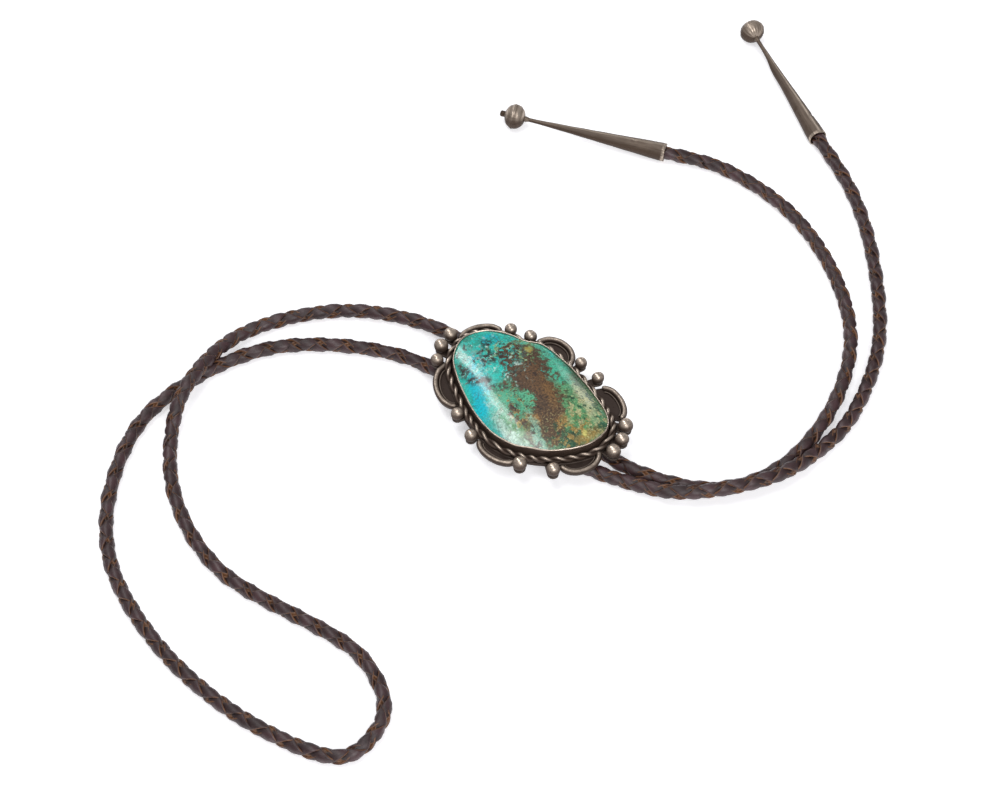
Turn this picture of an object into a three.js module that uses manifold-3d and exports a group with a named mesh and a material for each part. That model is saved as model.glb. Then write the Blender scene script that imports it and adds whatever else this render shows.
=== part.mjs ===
// A bolo tie laid out on a table, at its real size in millimetres, +Z up.
//
// The origin is the middle of the flat back of the clip under the slide, and z = 0 is the
// surface that the tie lies on. +X runs to the right and +Y away from the viewer.
//
// The pieces are the silver setting of the slide, its cabochon, the clip that holds the two
// runs of the cord, the cord from one tip to the other, and the two cone-shaped tips.

import * as THREE from "three";
import { mergeVertices } from "three/addons/utils/BufferGeometryUtils.js";
import Module from "manifold-3d";

// The gap that pieces keep where they rest on each other.
const REST_GAP = 0.3;

// Cord: a round braid of dark leather. Its runs under the slide lie in the clip.
const CORD_DIAMETER = 4.1;
const CORD_SIDES = 8;
const CORD_STEPS = 84;
const CORD_IN_MOUTH = 3.5;

// Slide: its long axis points down and to the right on the table.
const SLIDE_TURN = -45;

// Clip: a block with two round channels that are open at the top.
const CLIP_TURN = -42;
const CLIP_LENGTH = 16;
const CLIP_FLOOR = 0.75;
const CLIP_SIDE = 0.9;
const CHANNEL_SPACING = 10.4;
const CHANNEL_RADIUS = CORD_DIAMETER / 2 + REST_GAP + 0.05;
const CHANNEL_HEIGHT = CLIP_FLOOR + CHANNEL_RADIUS;
const CLIP_TOP = 5.2;

// Back plate of the slide, which carries everything that is soldered to it.
const PLATE_LOW = CLIP_TOP + REST_GAP;
const PLATE_THICKNESS = 1.0;
const PLATE_TOP = PLATE_LOW + PLATE_THICKNESS;
const PLATE_MARGIN = 2.6;

// Bezel: an upright strip of sheet round the stone.
const BEZEL_HEIGHT = 4.0;
const BEZEL_WALL = 0.6;
const BEZEL_TOP = PLATE_TOP + BEZEL_HEIGHT;
const BEZEL_STEPS = 56;
const BEZEL_SINK = 0.3;

// Rope: two wires twisted together, laid round the foot of the bezel.
const ROPE_WIRE_RADIUS = 0.42;
const ROPE_OFFSET = 1.5;
const ROPE_TURNS = 20;
const ROPE_STEPS_PER_TURN = 5;
const ROPE_LOBES = [0.6, 1.45, 2.0, 1.45, 0.6, 1.45, 2.0, 1.45];
const ROPE_DIP = 0.12;

// Scallops: thinner sheet petals, each with a heavy rim wire.
const LEAF_STEP = 0.15;
const PETAL_STEPS = 12;
const RIM_RADIUS = 0.8;
const RIM_LIFT = 0.3;
const WIRE_SIDES = 6;

// Balls of silver, melted round and soldered to small seats at the plate's edge.
const BALL_AROUND = 10;
const BALL_DOWN = 6;
const BALL_SINK = 0.35;
const SEAT_OVERHANG = 0.15;
const SEAT_STEP = 0.1;
const SEAT_ROOT = 0.75;
const SEAT_SIDES = 6;

// Stone: a low dome with a straight girdle inside the bezel.
const STONE_GIRDLE_TOP = BEZEL_TOP - 0.9;
const STONE_DOME = 3.0;
const STONE_RINGS = 7;
const STONE_FLATNESS = 2.6;

// Tips: hollow cones of rolled sheet, each with a flattened bead and a stub soldered on.
const TIP_LENGTH = 50.4;
const MOUTH_RADIUS = 3.0;
const MOUTH_WALL = 0.5;
const STEM_RADIUS = 0.65;
const STEM_AT = 44.5;
const CAVITY_DEPTH = 36;
const BEAD_RADIUS = 4.0;
const BEAD_HALF = 3.25;
const BEAD_STEPS = 8;
const STUB_RADIUS = 1.0;
const STUB_LENGTH = 1.9;
const TIP_SIDES = 16;

// Outline of the bezel's lip in the slide's own frame: p along the slide's long axis, q across.
const LIP = [
  { p: -26.8, q: 3.4 },
  { p: -24.2, q: 8.8 },
  { p: -17.6, q: 13.1 },
  { p: -13.1, q: 14.6 },
  { p: -8.6, q: 17.0 },
  { p: 0.9, q: 17.3 },
  { p: 11.4, q: 15.7 },
  { p: 24.0, q: 11.6 },
  { p: 26.8, q: 8.1 },
  { p: 27.1, q: 1.7 },
  { p: 22.9, q: -6.1 },
  { p: 15.9, q: -12.5 },
  { p: 6.9, q: -16.1 },
  { p: -3.1, q: -15.3 },
  { p: -14.1, q: -11.2 },
  { p: -22.6, q: -6.3 },
  { p: -26.0, q: -1.3 },
];

// Scallops, clockwise: each outer edge is half an ellipse over the chord from start to end.
const PETALS = [
  { start: [-28.8, 2.0], end: [-22.0, 14.3], bulge: 4.4 },
  { start: [-12.2, 18.4], end: [2.0, 19.3], bulge: 5.8 },
  { start: [13.3, 20.0], end: [26.3, 15.3], bulge: 4.1 },
  { start: [29.2, 3.2], end: [24.6, -9.7], bulge: 5.2 },
  { start: [14.9, -17.1], end: [1.1, -19.3], bulge: 4.0 },
  { start: [-11.2, -15.8], end: [-25.3, -5.9], bulge: 5.8 },
];

// Balls, clockwise from the left end of the slide.
const BALLS = [
  { p: -27.6, q: -8.1, diameter: 3.9 },
  { p: -30.5, q: -3.6, diameter: 4.3 },
  { p: -31.6, q: 1.4, diameter: 4.2 },
  { p: -20.1, q: 15.7, diameter: 3.8 },
  { p: -14.0, q: 18.0, diameter: 4.0 },
  { p: 3.7, q: 21.6, diameter: 3.7 },
  { p: 11.1, q: 21.1, diameter: 3.8 },
  { p: 29.0, q: 14.1, diameter: 4.5 },
  { p: 31.6, q: 9.8, diameter: 4.2 },
  { p: 32.8, q: 4.9, diameter: 4.4 },
  { p: 24.8, q: -12.1, diameter: 4.2 },
  { p: 16.5, q: -17.5, diameter: 4.4 },
  { p: -0.7, q: -20.4, diameter: 3.9 },
  { p: -9.1, q: -17.8, diameter: 3.9 },
];

// Tips: the middle of each mouth, and the direction from mouth to bead in degrees from +X.
const TIPS = [
  { name: "tip_left", mouth: [46.9, 101.2], heading: 163 },
  { name: "tip_right", mouth: [96.6, 107.3], heading: 111.4 },
];

// The cord's route, x, y, z, from inside the left tip's mouth to inside the right tip's mouth.
const CORD_ROUTE = [
  [43.5, 102.1, 3.0],
  [64.8, 95.2, 2.1],
  [85.2, 76.8, 2.1],
  [97.2, 51.6, 2.1],
  [100.2, 24.4, 2.1],
  [91.1, -2.4, 2.1],
  [73.7, -22.7, 2.1],
  [54.9, -28.8, 2.1],
  [29.3, -20.4, 2.4],
  [9.5, -1.5, 3.15],
  [-2.4, 9.2, 3.15],
  [-24.1, 29.0, 2.7],
  [-54.5, 37.0, 2.1],
  [-85.2, 27.7, 2.3],
  [-99.7, 5.1, 6.5],
  [-103.5, -9.1, 2.5],
  [-100.6, -32.2, 2.1],
  [-86.6, -56.2, 2.1],
  [-44.5, -85.5, 2.1],
  [-38.2, -102.9, 2.1],
  [-47.8, -115.6, 2.1],
  [-70.9, -107.7, 2.1],
  [-98.9, -84.5, 2.1],
  [-117.5, -53.7, 2.1],
  [-119.3, -25.4, 2.1],
  [-109.7, 0.1, 2.1],
  [-77.7, 22.1, 2.1],
  [-38.3, 20.2, 2.2],
  [-9.5, 1.5, 3.15],
  [2.4, -9.2, 3.15],
  [13.7, -19.2, 3.1],
  [31.2, -26.7, 2.2],
  [47.2, -31.8, 4.7],
  [73.6, -26.4, 5.3],
  [90.3, -12.6, 2.1],
  [98.6, -2.1, 2.1],
  [108.5, 23.2, 2.1],
  [110.0, 57.6, 2.1],
  [105.8, 84.9, 2.1],
  [95.3, 110.6, 3.0],
];

const wasm = await Module();
wasm.setup();

const up = new THREE.Vector3(0, 0, 1);
const radians = THREE.MathUtils.degToRad;

// The closed solid of a geometry, ready for joins and cuts.
function solid(geometry) {
  const bare = geometry.clone();
  bare.deleteAttribute("normal");
  bare.deleteAttribute("uv");
  const merged = mergeVertices(bare, 1e-4);
  return new wasm.Manifold(
    new wasm.Mesh({
      numProp: 3,
      vertProperties: new Float32Array(merged.attributes.position.array),
      triVerts: new Uint32Array(merged.index.array),
    }),
  );
}

// The geometry of a joined solid.
function geometryOf(manifold) {
  const mesh = manifold.getMesh();
  const geometry = new THREE.BufferGeometry();
  geometry.setAttribute("position", new THREE.BufferAttribute(mesh.vertProperties, 3));
  geometry.setIndex(new THREE.BufferAttribute(mesh.triVerts, 1));
  geometry.computeVertexNormals();
  return geometry;
}

function named(name, geometry, colour, roughness, metalness) {
  const mesh = new THREE.Mesh(
    geometry,
    new THREE.MeshStandardMaterial({ color: colour, roughness, metalness }),
  );
  mesh.name = name;
  return mesh;
}

// A point of the slide's plane.
function flat(p, q) {
  return new THREE.Vector2(p, q);
}

// The closed lip outline, sampled evenly, counter-clockwise as seen from above.
function lipOutline() {
  const knots = LIP.map(({ p, q }) => new THREE.Vector3(p, q, 0));
  const curve = new THREE.CatmullRomCurve3(knots, true, "centripetal");
  const points = curve.getSpacedPoints(BEZEL_STEPS).slice(0, BEZEL_STEPS);
  return points.reverse().map((v) => flat(v.x, v.y));
}

// A closed outline moved outwards by a distance, or inwards by a negative one.
function offset(outline, distance) {
  return outline.map((point, i) => {
    const before = outline[(i + outline.length - 1) % outline.length];
    const after = outline[(i + 1) % outline.length];
    const along = after.clone().sub(before).normalize();
    return flat(point.x + along.y * distance, point.y - along.x * distance);
  });
}

// A flat sheet of an outline between two heights, with an optional hole.
function sheet(outline, low, high, hole) {
  const shape = new THREE.Shape(outline);
  if (hole) shape.holes.push(new THREE.Path(hole));
  const depth = high - low;
  return new THREE.ExtrudeGeometry(shape, { depth, bevelEnabled: false }).translate(0, 0, low);
}

// A round section with a number of sides, with its first side level.
function roundSection(radius, sides) {
  const turn = Math.PI / sides;
  const points = Array.from({ length: sides }, (_, i) => {
    const angle = turn + (2 * Math.PI * i) / sides;
    return flat(radius * Math.cos(angle), radius * Math.sin(angle));
  });
  return new THREE.Shape(points);
}

// A wire or cord: a round section carried along a curve.
function wire(points, radius, sides, steps) {
  const path = new THREE.CatmullRomCurve3(points, false, "centripetal");
  return new THREE.ExtrudeGeometry(roundSection(radius, sides), {
    steps,
    bevelEnabled: false,
    extrudePath: path,
  });
}

// A geometry from rings of points: closed round on itself, or capped at a point at each end.
function skin(rings, poles) {
  const around = rings[0].length;
  const positions = rings.flat().flatMap((v) => [v.x, v.y, v.z]);
  const index = [];
  const spans = poles ? rings.length - 1 : rings.length;
  for (let i = 0; i < spans; i++) {
    const lower = i * around;
    const upper = ((i + 1) % rings.length) * around;
    for (let j = 0; j < around; j++) {
      const k = (j + 1) % around;
      index.push(lower + j, lower + k, upper + k, lower + j, upper + k, upper + j);
    }
  }
  if (poles) {
    const last = (rings.length - 1) * around;
    const low = positions.length / 3;
    const high = low + 1;
    poles.forEach((v) => positions.push(v.x, v.y, v.z));
    for (let j = 0; j < around; j++) {
      const k = (j + 1) % around;
      index.push(low, k, j, high, last + j, last + k);
    }
  }
  const geometry = new THREE.BufferGeometry();
  geometry.setAttribute("position", new THREE.Float32BufferAttribute(positions, 3));
  geometry.setIndex(index);
  return geometry;
}

// The twisted rope round the bezel: a section of two round lobes that turns as it goes.
function rope(outline) {
  const loop = offset(outline, ROPE_OFFSET).map((v) => new THREE.Vector3(v.x, v.y, 0));
  const curve = new THREE.CatmullRomCurve3(loop, true, "centripetal");
  const steps = ROPE_TURNS * ROPE_STEPS_PER_TURN;
  const height = PLATE_TOP + ROPE_WIRE_RADIUS * 2 - ROPE_DIP;
  const rings = [];
  for (let i = 0; i < steps; i++) {
    const at = curve.getPointAt(i / steps);
    const along = curve.getTangentAt(i / steps);
    const side = new THREE.Vector3().crossVectors(up, along).normalize();
    const twist = (2 * Math.PI * i) / ROPE_STEPS_PER_TURN;
    const ring = ROPE_LOBES.map((lobe, j) => {
      const angle = (2 * Math.PI * j) / ROPE_LOBES.length + twist;
      const reach = ROPE_WIRE_RADIUS * lobe;
      return at
        .clone()
        .addScaledVector(side, reach * Math.cos(angle))
        .addScaledVector(up, height + reach * Math.sin(angle));
    });
    rings.push(ring);
  }
  return skin(rings);
}

// Points along a petal's edge, drawn in from its outer edge by an inset, from end to end.
function petalEdge({ start, end, bulge }, inset) {
  const a = flat(...start);
  const b = flat(...end);
  const middle = a.clone().add(b).multiplyScalar(0.5);
  const half = b.clone().sub(a).multiplyScalar(0.5);
  const long = half.length();
  const along = half.clone().normalize();
  const out = flat(-along.y, along.x);
  return Array.from({ length: PETAL_STEPS + 1 }, (_, i) => {
    const angle = Math.PI * (1 - i / PETAL_STEPS);
    return middle
      .clone()
      .addScaledVector(along, (long - inset) * Math.cos(angle))
      .addScaledVector(out, (bulge - inset) * Math.sin(angle));
  });
}

function raised(points, height) {
  return points.map((v) => new THREE.Vector3(v.x, v.y, height));
}

// One scallop: its sheet, which runs in under the bezel, and its rim wire.
function petal(row) {
  const edge = petalEdge(row, 0);
  const root = [edge[edge.length - 1], edge[0]].map((v) => v.clone().multiplyScalar(SEAT_ROOT));
  const leaf = sheet([...edge, ...root].reverse(), PLATE_LOW + LEAF_STEP, PLATE_TOP - LEAF_STEP);
  const rim = wire(
    raised(petalEdge(row, RIM_RADIUS), PLATE_TOP + RIM_LIFT),
    RIM_RADIUS,
    WIRE_SIDES,
    PETAL_STEPS,
  );
  return [leaf, rim].map(solid);
}

// One ball on its seat: a tongue of sheet with a round end that runs in under the bezel.
function ball({ p, q, diameter }) {
  const radius = diameter / 2;
  const sphere = new THREE.SphereGeometry(radius, BALL_AROUND, BALL_DOWN)
    .rotateX(Math.PI / 2)
    .translate(p, q, PLATE_TOP + radius - BALL_SINK);
  const middle = flat(p, q);
  const out = middle.clone().setLength(radius + SEAT_OVERHANG);
  const side = flat(-out.y, out.x);
  const tongue = Array.from({ length: SEAT_SIDES + 1 }, (_, i) => {
    const angle = (Math.PI * i) / SEAT_SIDES;
    return middle
      .clone()
      .addScaledVector(side, -Math.cos(angle))
      .addScaledVector(out, Math.sin(angle));
  });
  const root = middle.clone().multiplyScalar(SEAT_ROOT);
  tongue.push(root.clone().add(side), root.clone().sub(side));
  const seat = sheet(tongue, PLATE_LOW + SEAT_STEP, PLATE_TOP - SEAT_STEP);
  return [sphere, seat].map(solid);
}

function setting(outline) {
  const plate = sheet(offset(outline, PLATE_MARGIN), PLATE_LOW, PLATE_TOP);
  const wall = sheet(outline, PLATE_TOP - BEZEL_SINK, BEZEL_TOP, offset(outline, -BEZEL_WALL));
  const pieces = [
    solid(plate),
    solid(wall),
    solid(rope(outline)),
    ...PETALS.flatMap(petal),
    ...BALLS.flatMap(ball),
  ];
  const whole = pieces.reduce((sum, piece) => sum.add(piece));
  return named("setting", geometryOf(whole), 0x6b5f55, 0.42, 0.95);
}

// The cabochon: a straight girdle, then a dome whose height falls off with a power of radius.
function stone(outline) {
  const girdle = offset(outline, -(BEZEL_WALL + REST_GAP));
  const floor = PLATE_TOP + REST_GAP;
  const centre = girdle.reduce((sum, v) => sum.add(v), flat(0, 0));
  centre.divideScalar(girdle.length);
  const ringAt = (share, height) =>
    girdle.map((v) => {
      const point = centre.clone().lerp(v, share);
      return new THREE.Vector3(point.x, point.y, height);
    });
  const rings = [ringAt(1, floor), ringAt(1, STONE_GIRDLE_TOP)];
  for (let i = 1; i < STONE_RINGS; i++) {
    const share = Math.cos((Math.PI / 2) * (i / STONE_RINGS));
    const rise = STONE_DOME * (1 - share ** STONE_FLATNESS);
    rings.push(ringAt(share, STONE_GIRDLE_TOP + rise));
  }
  const poles = [
    new THREE.Vector3(centre.x, centre.y, floor),
    new THREE.Vector3(centre.x, centre.y, STONE_GIRDLE_TOP + STONE_DOME),
  ];
  return named("stone", skin(rings, poles), 0x5fae9b, 0.22, 0.0);
}

// The clip's end view: a flat back, two sides, and a top cut by the two channels.
function clipOutline() {
  const half = CHANNEL_SPACING / 2 + CHANNEL_RADIUS + CLIP_SIDE;
  const slot = Math.sqrt(CHANNEL_RADIUS ** 2 - (CLIP_TOP - CHANNEL_HEIGHT) ** 2);
  const lean = Math.atan2(CLIP_TOP - CHANNEL_HEIGHT, slot);
  const shape = new THREE.Shape();
  shape.moveTo(-half, 0);
  shape.lineTo(half, 0);
  shape.lineTo(half, CLIP_TOP);
  for (const x of [CHANNEL_SPACING / 2, -CHANNEL_SPACING / 2]) {
    shape.absarc(x, CHANNEL_HEIGHT, CHANNEL_RADIUS, lean, Math.PI - lean, true);
  }
  shape.lineTo(-half, CLIP_TOP);
  return shape;
}

function clip() {
  const geometry = new THREE.ExtrudeGeometry(clipOutline(), {
    depth: CLIP_LENGTH,
    curveSegments: 7,
    bevelEnabled: false,
  });
  geometry.translate(0, 0, -CLIP_LENGTH / 2).rotateX(Math.PI / 2).rotateZ(Math.PI / 2);
  const mesh = named("cord_clip", geometry, 0x8a8580, 0.35, 1.0);
  mesh.rotation.z = radians(CLIP_TURN);
  return mesh;
}

function cord() {
  const points = CORD_ROUTE.map((row) => new THREE.Vector3(...row));
  const geometry = wire(points, CORD_DIAMETER / 2, CORD_SIDES, CORD_STEPS);
  return named("cord", geometry, 0x3a2d2c, 0.6, 0.0);
}

// A tip's profile from the bottom of its cavity, out over the lip and down to the stub's end.
function tipProfile() {
  const inner = MOUTH_RADIUS - MOUTH_WALL;
  const profile = [
    flat(0, CAVITY_DEPTH),
    flat(inner - 0.15, CORD_IN_MOUTH + 0.5),
    flat(inner + 0.05, 0),
    flat(MOUTH_RADIUS, 0),
    flat(STEM_RADIUS, STEM_AT),
  ];
  const bead = Math.asin(STEM_RADIUS / BEAD_RADIUS);
  const stub = Math.asin(STUB_RADIUS / BEAD_RADIUS);
  for (let i = 0; i <= BEAD_STEPS; i++) {
    const angle = bead + ((Math.PI - stub - bead) * i) / BEAD_STEPS;
    const height = TIP_LENGTH - BEAD_HALF * Math.cos(angle);
    profile.push(flat(BEAD_RADIUS * Math.sin(angle), height));
  }
  const end = TIP_LENGTH + BEAD_HALF + STUB_LENGTH;
  profile.push(flat(STUB_RADIUS, end - 0.5));
  profile.push(flat(STUB_RADIUS * 0.6, end));
  profile.push(flat(0, end));
  return profile;
}

// A tip lies on its mouth's lower lip and on its bead, so its axis rises a little to the bead.
function tip({ name, mouth, heading }) {
  const geometry = new THREE.LatheGeometry(tipProfile(), TIP_SIDES);
  const mesh = named(name, geometry, 0x756a5f, 0.38, 0.95);
  const rise = Math.asin((BEAD_RADIUS - MOUTH_RADIUS) / TIP_LENGTH);
  const turn = radians(heading);
  const axis = new THREE.Vector3(
    Math.cos(turn) * Math.cos(rise),
    Math.sin(turn) * Math.cos(rise),
    Math.sin(rise),
  );
  mesh.quaternion.setFromUnitVectors(new THREE.Vector3(0, 1, 0), axis);
  mesh.position.set(mouth[0], mouth[1], MOUTH_RADIUS);
  return mesh;
}

function slide() {
  const outline = lipOutline();
  const group = new THREE.Group();
  group.add(setting(outline), stone(outline));
  group.rotation.z = radians(SLIDE_TURN);
  return group;
}

const boloTie = new THREE.Group();
boloTie.add(slide(), clip(), cord(), ...TIPS.map(tip));

export default boloTie;
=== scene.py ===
# A bolo tie laid out on a pale table: a silver slide with a turquoise cabochon, a round braid
# of dark leather, and two cone-shaped tips. Lengths in the tables are millimetres.

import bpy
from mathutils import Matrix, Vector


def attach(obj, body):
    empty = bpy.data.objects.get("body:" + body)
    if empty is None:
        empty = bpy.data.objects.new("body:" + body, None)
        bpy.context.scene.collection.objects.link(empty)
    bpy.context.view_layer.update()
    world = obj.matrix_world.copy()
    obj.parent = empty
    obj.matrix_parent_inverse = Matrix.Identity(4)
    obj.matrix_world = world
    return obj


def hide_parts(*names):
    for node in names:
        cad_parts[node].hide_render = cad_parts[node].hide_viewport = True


bl_info = {
    "name": "Bolo tie",
    "version": (1, 0, 0),
    "blender": (4, 5, 0),
    "location": "3D Viewport > Sidebar > Bolo tie",
    "description": "Makes a braided bolo tie with a turquoise slide and silver tips",
    "category": "Add Mesh",
}

import math

import bpy
import numpy as np
from bpy.props import FloatProperty, FloatVectorProperty, IntProperty, PointerProperty

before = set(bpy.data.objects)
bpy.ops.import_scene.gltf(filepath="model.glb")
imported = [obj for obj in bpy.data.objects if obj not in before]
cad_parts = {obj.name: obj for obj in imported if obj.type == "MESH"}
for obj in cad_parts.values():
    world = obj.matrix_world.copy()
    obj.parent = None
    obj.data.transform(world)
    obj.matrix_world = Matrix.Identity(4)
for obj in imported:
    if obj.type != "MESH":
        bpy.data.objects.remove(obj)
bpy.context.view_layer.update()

MM = 0.001
UP = np.array([0.0, 0.0, 1.0])

# Heights over the table that the solids share.
CLIP_TOP = 5.2
PLATE_LOW = 5.5
PLATE_TOP = 6.5
BEZEL_TOP = 10.5
GIRDLE_TOP = 10.0
STONE_FLOOR = 6.8

# The slide's long axis points down and to the right on the table.
SLIDE_TURN = math.radians(-45)
CLIP_TURN = math.radians(-42)

# The braid: a lace's thickness as a share of the cord's diameter, and how far the braid lies over
# the cord's route, so that its lowest laces rest on the table.
LACE_SHARE = 0.285
CORD_LIFT = 0.22

# The rope round the bezel: its axis's distance outward and over the plate, and its helix.
ROPE_OUT = 1.5
ROPE_RISE = 0.95
ROPE_HELIX = 0.54

# How far the stone's edge lies inside the lip, and how far each ball is sunk in the plate.
GIRDLE_INSET = 0.26
BALL_SINK = 0.35

# A tongue's half width as a share of its ball's, and how far out from the middle the tongues
# and leaves start, as a share of where they end.
SEAT_SHARE = 0.82
ROOT_SHARE = 0.75

# The tips: half the bead's length, and the angle and width of the cone's seam in degrees.
BEAD_HALF = 3.35
SEAM_ANGLE = 75
SEAM_WIDTH = 5

# The clip: half its width and length, and its channels' radius, height and distance from the
# middle.
CLIP_HALF_WIDTH = 8.5
CLIP_HALF_LENGTH = 8.0
CHANNEL_RADIUS = 2.4
CHANNEL_HEIGHT = 3.15
CHANNEL_OUT = 5.2

# The table: half its side, and its height just under the solids' lowest point.
TABLE_HALF = 3000
TABLE_HEIGHT = -0.1

# Outline of the bezel's lip in the slide's own frame: p along its long axis, q across it.
LIP = [
    # p, q
    (-26.8, 3.4),
    (-24.2, 8.8),
    (-17.6, 13.1),
    (-13.1, 14.6),
    (-8.6, 17.0),
    (0.9, 17.3),
    (11.4, 15.7),
    (24.0, 11.6),
    (26.8, 8.1),
    (27.1, 1.7),
    (22.9, -6.1),
    (15.9, -12.5),
    (6.9, -16.1),
    (-3.1, -15.3),
    (-14.1, -11.2),
    (-22.6, -6.3),
    (-26.0, -1.3),
]

# Scallops: each outer edge is half an ellipse over the chord from start to end.
PETALS = [
    # start p, start q, end p, end q, bulge
    (-28.8, 2.0, -22.0, 14.3, 4.4),
    (-12.2, 18.4, 2.0, 19.3, 5.8),
    (13.3, 20.0, 26.3, 15.3, 4.1),
    (29.2, 3.2, 24.6, -9.7, 5.2),
    (14.9, -17.1, 1.1, -19.3, 4.0),
    (-11.2, -15.8, -25.3, -5.9, 5.8),
]

# Balls of silver between the scallops.
BALLS = [
    # p, q, diameter
    (-27.6, -8.1, 3.9),
    (-30.5, -3.6, 4.3),
    (-31.6, 1.4, 4.2),
    (-20.1, 15.7, 3.8),
    (-14.0, 18.0, 4.0),
    (3.7, 21.6, 3.7),
    (11.1, 21.1, 3.8),
    (29.0, 14.1, 4.5),
    (31.6, 9.8, 4.2),
    (32.8, 4.9, 4.4),
    (24.8, -12.1, 4.2),
    (16.5, -17.5, 4.4),
    (-0.7, -20.4, 3.9),
    (-9.1, -17.8, 3.9),
]

# Tips: the middle of the mouth, and the direction from mouth to bead in degrees from +X.
TIPS = [
    # name, mouth x, mouth y, heading
    ("left", 46.9, 101.2, 163.0),
    ("right", 96.6, 107.3, 111.4),
]

# The cord's route from inside the left tip's mouth to inside the right tip's mouth.
CORD_ROUTE = [
    # x, y, z
    (43.5, 102.1, 3.0),
    (64.8, 95.2, 2.1),
    (85.2, 76.8, 2.1),
    (97.2, 51.6, 2.1),
    (100.2, 24.4, 2.1),
    (91.1, -2.4, 2.1),
    (73.7, -22.7, 2.1),
    (54.9, -28.8, 2.1),
    (29.3, -20.4, 2.4),
    (9.5, -1.5, 3.15),
    (-2.4, 9.2, 3.15),
    (-24.1, 29.0, 2.7),
    (-54.5, 37.0, 2.1),
    (-85.2, 27.7, 2.3),
    (-99.7, 5.1, 6.5),
    (-103.5, -9.1, 2.5),
    (-100.6, -32.2, 2.1),
    (-86.6, -56.2, 2.1),
    (-44.5, -85.5, 2.1),
    (-38.2, -102.9, 2.1),
    (-47.8, -115.6, 2.1),
    (-70.9, -107.7, 2.1),
    (-98.9, -84.5, 2.1),
    (-117.5, -53.7, 2.1),
    (-119.3, -25.4, 2.1),
    (-109.7, 0.1, 2.1),
    (-77.7, 22.1, 2.1),
    (-38.3, 20.2, 2.2),
    (-9.5, 1.5, 3.15),
    (2.4, -9.2, 3.15),
    (13.7, -19.2, 3.1),
    (31.2, -26.7, 2.2),
    (47.2, -31.8, 4.7),
    (73.6, -26.4, 5.3),
    (90.3, -12.6, 2.1),
    (98.6, -2.1, 2.1),
    (108.5, 23.2, 2.1),
    (110.0, 57.6, 2.1),
    (105.8, 84.9, 2.1),
    (95.3, 110.6, 3.0),
]


def tint(red, green, blue):
    """A colour from 0 to 255 in each channel, as Blender's linear red, green, blue."""
    shares = np.array([red, green, blue]) / 255
    curve = np.where(shares > 0.04045, ((shares + 0.055) / 1.055) ** 2.4, shares / 12.92)
    return tuple(float(value) for value in curve)


def colour_property(name, description, default):
    return FloatVectorProperty(
        name=name,
        description=description,
        default=default,
        subtype="COLOR",
        size=3,
        min=0,
        max=1,
    )


def length_property(name, description, millimetres):
    return FloatProperty(
        name=name, description=description, default=millimetres * MM, subtype="DISTANCE"
    )


class BoloCameraSettings(bpy.types.PropertyGroup):
    elevation: FloatProperty(
        name="Elevation",
        description="Angle of the view above the table",
        default=math.radians(54),
        subtype="ANGLE",
    )
    distance: length_property(
        "Distance", "From the camera to the point of the table that it looks at", 726.54
    )
    aim: FloatVectorProperty(
        name="Aim",
        description="The point of the table in the middle of the picture",
        default=(-0.0064, 0.0048, 0),
        subtype="XYZ",
        unit="LENGTH",
    )
    lens: FloatProperty(
        name="Lens",
        description="Focal length over a sensor 36 mm wide",
        default=87.185,
        unit="CAMERA",
    )


class BoloCordSettings(bpy.types.PropertyGroup):
    diameter: length_property("Diameter", "Across the braid", 4.1)
    pitch: length_property("Pitch", "Length of cord in which a lace goes once round", 16.4)
    lace_width: length_property("Lace width", "Across one flat lace", 3.3)
    step: length_property("Step", "Distance between the sections of a lace", 0.46)
    leather: colour_property("Leather", "Grain side of the laces", tint(43, 25, 26))
    # Sheen: colour of the lace tops, partly rubbed leather and partly a painted highlight.
    sheen: colour_property("Sheen", "Where the grain side is rubbed", tint(80, 55, 58))
    edge: colour_property("Raw edge", "Cut sides of the laces", tint(122, 82, 52))
    # Colour of the painted shade in the gaps where the laces pass under each other.
    gap_shade: colour_property("Painted_gap_shade", "Deep between the laces", tint(16, 10, 8))


class BoloSlideSettings(bpy.types.PropertyGroup):
    plate_margin: length_property(
        "Plate margin", "How far the back plate reaches past the bezel", 2.6
    )
    rope_wire: length_property("Rope wire", "Radius of each of the two twisted wires", 0.56)
    rope_turns: IntProperty(
        name="Rope turns",
        description="Turns of the twisted wires round the bezel",
        default=19,
        min=1,
    )
    rim_wire: length_property("Rim wire", "Radius of the heavy wire round each scallop", 0.85)
    # Oxide in the slide's hollows; also the colour of the painted shade on the lower sides of the
    # tips and clip.
    dark: colour_property("Oxide", "Silver in the recesses", tint(40, 29, 26))
    silver: colour_property("Silver", "Silver under its patina", tint(80, 65, 56))
    # Colour of rubbed silver, also used for the painted highlight on the tops of wires, balls, the
    # lip and the tips.
    bright: colour_property("Highlight_and_wear", "Silver rubbed bright", tint(224, 207, 190))


class BoloStoneSettings(bpy.types.PropertyGroup):
    dome: length_property("Dome", "Height of the dome over the girdle", 2.6)
    flatness: FloatProperty(
        name="Flatness",
        description="Power by which the dome falls off towards its edge",
        default=3.0,
        min=1,
    )
    teal: colour_property("Teal", "Left half of the stone", tint(50, 212, 196))
    green: colour_property("Green", "Right half of the stone", tint(106, 150, 112))


class BoloTipSettings(bpy.types.PropertyGroup):
    length: length_property("Length", "From the mouth to the middle of the bead", 50.4)
    mouth: length_property("Mouth radius", "Outer radius at the mouth", 3.0)
    bead: length_property("Bead radius", "Radius of the bead at its seam", 4.0)
    silver: colour_property("Tip silver", "Silver of the cones", tint(76, 60, 48))


class BoloStageSettings(bpy.types.PropertyGroup):
    glow: FloatProperty(
        name="Glow",
        description="Light that the backlit table gives off",
        default=0.5,
    )
    table: colour_property("Table", "Colour of the table", (0.93, 0.93, 0.945))
    key: FloatProperty(
        name="Key light",
        description="Power of the large light over the table",
        default=16.0,
        unit="POWER",
    )
    fill: FloatProperty(
        name="Fill",
        description="Strength of the light from all round",
        default=0.26,
    )


def unit(vectors):
    """Vectors divided by their lengths."""
    return vectors / np.linalg.norm(vectors, axis=-1, keepdims=True)


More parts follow.
